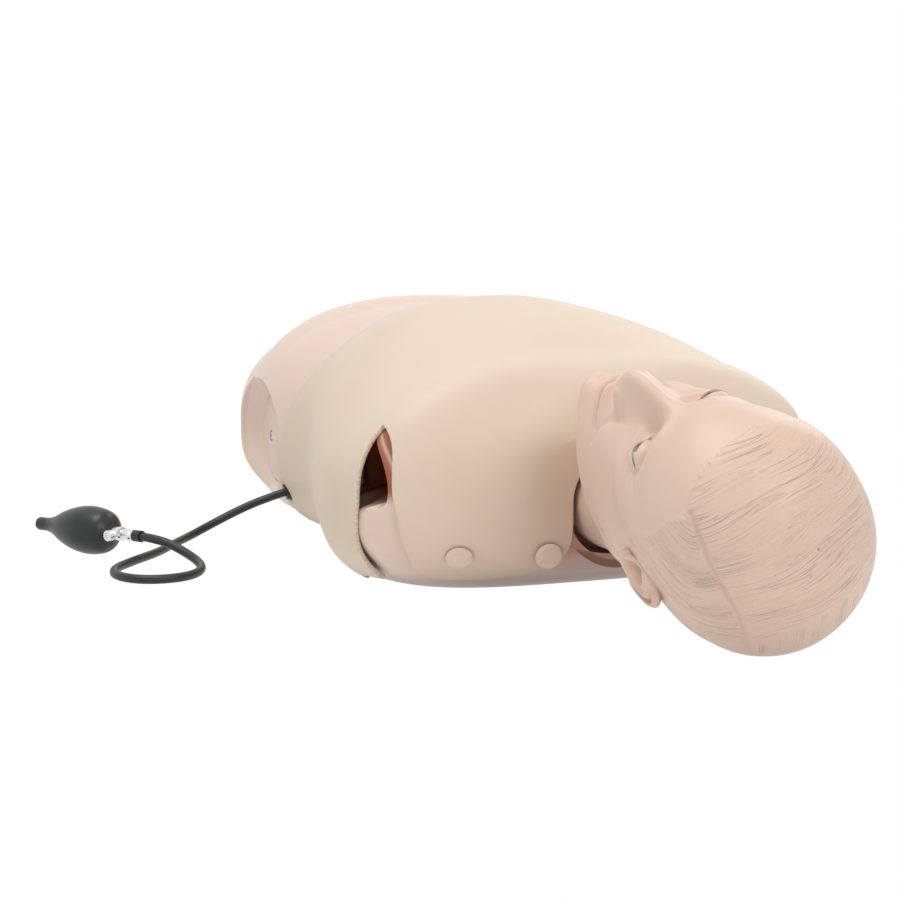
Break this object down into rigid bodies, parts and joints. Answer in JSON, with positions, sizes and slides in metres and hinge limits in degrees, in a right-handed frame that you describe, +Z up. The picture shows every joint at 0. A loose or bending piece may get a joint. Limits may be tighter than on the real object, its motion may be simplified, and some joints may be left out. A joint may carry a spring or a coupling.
{
  "type": "pneumothorax trainer",
  "caption": "Lying adult head-and-torso training manikin with a soft chest skin over a rib plate and air pads, shoulder straps, open arm sockets, a turning head and a squeeze bulb on a hose.",
  "frame": {"origin": "on the table under the middle of the chest, where the back lies", "axes": "+X from the hips to the head, +Y to the manikin's right, +Z up from the table"},
  "size_m": [0.883, 0.6178, 0.2375],
  "materials": {
    "shell": "moulded body plastic, skin tone, satin gloss",
    "skin": "soft matte vinyl, cream skin tone",
    "head": "moulded vinyl, skin tone, with painted hair, brows and lips",
    "rib": "off-white moulded plastic",
    "bladder": "thin tan rubber",
    "tubing": "milky soft tubing",
    "hose": "matte black rubber",
    "bulb": "black rubber, slightly shiny",
    "chrome": "polished chrome",
    "zinc": "zinc-plated steel",
    "cap": "moulded body plastic, as the shell",
    "nylon": "natural nylon",
    "post": "turned aluminium",
    "connector": "black moulded plastic",
    "eye": "glossy white with painted blue-grey iris",
    "manifold": "grey moulded plastic"
  },
  "bodies": {
    "torso": {"torso_shell": "shell", "chest_skin": "skin", "rib_plate": "rib", "rib_plate_screws": "zinc", "strap_buttons_left": "skin", "strap_buttons_right": "skin", "clavicular_pad_left": "bladder", "clavicular_pad_right": "bladder", "axillary_pad_left": "bladder", "axillary_pad_right": "bladder", "clavicular_tube_left": "tubing", "clavicular_tube_right": "tubing", "axillary_tube_left": "tubing", "axillary_tube_right": "tubing", "air_manifold": "manifold", "supply_tube": "tubing", "hose_connector": "connector", "hose": "hose", "hose_cuff": "hose", "valve_body": "chrome", "bulb": "bulb", "intake_valve": "chrome", "hip_cap_left": "cap", "hip_cap_right": "cap", "hip_screw_left": "zinc", "hip_screw_right": "zinc", "neck_bush": "nylon", "neck_thrust_washer": "nylon"},
    "head": {"head_shell": "head", "eye_left": "eye", "eye_right": "eye", "neck_post": "post", "neck_retainer": "zinc", "neck_bolt": "zinc"},
    "knob": {"valve_knob": "chrome"}
  },
  "joints": [
    {"name": "head_turn", "type": "hinge", "parent": "torso", "child": "head", "pos_m": [0.165, 0, 0.084], "axis": [1, 0, 0], "range_deg": [-107, 43]},
    {"name": "valve_knob_turn", "type": "hinge", "parent": "torso", "child": "knob", "pos_m": [-0.159, -0.34888, 0.0226], "axis": [0.5692, -0.8222, 0], "range_deg": [0, 720]}
  ]
}
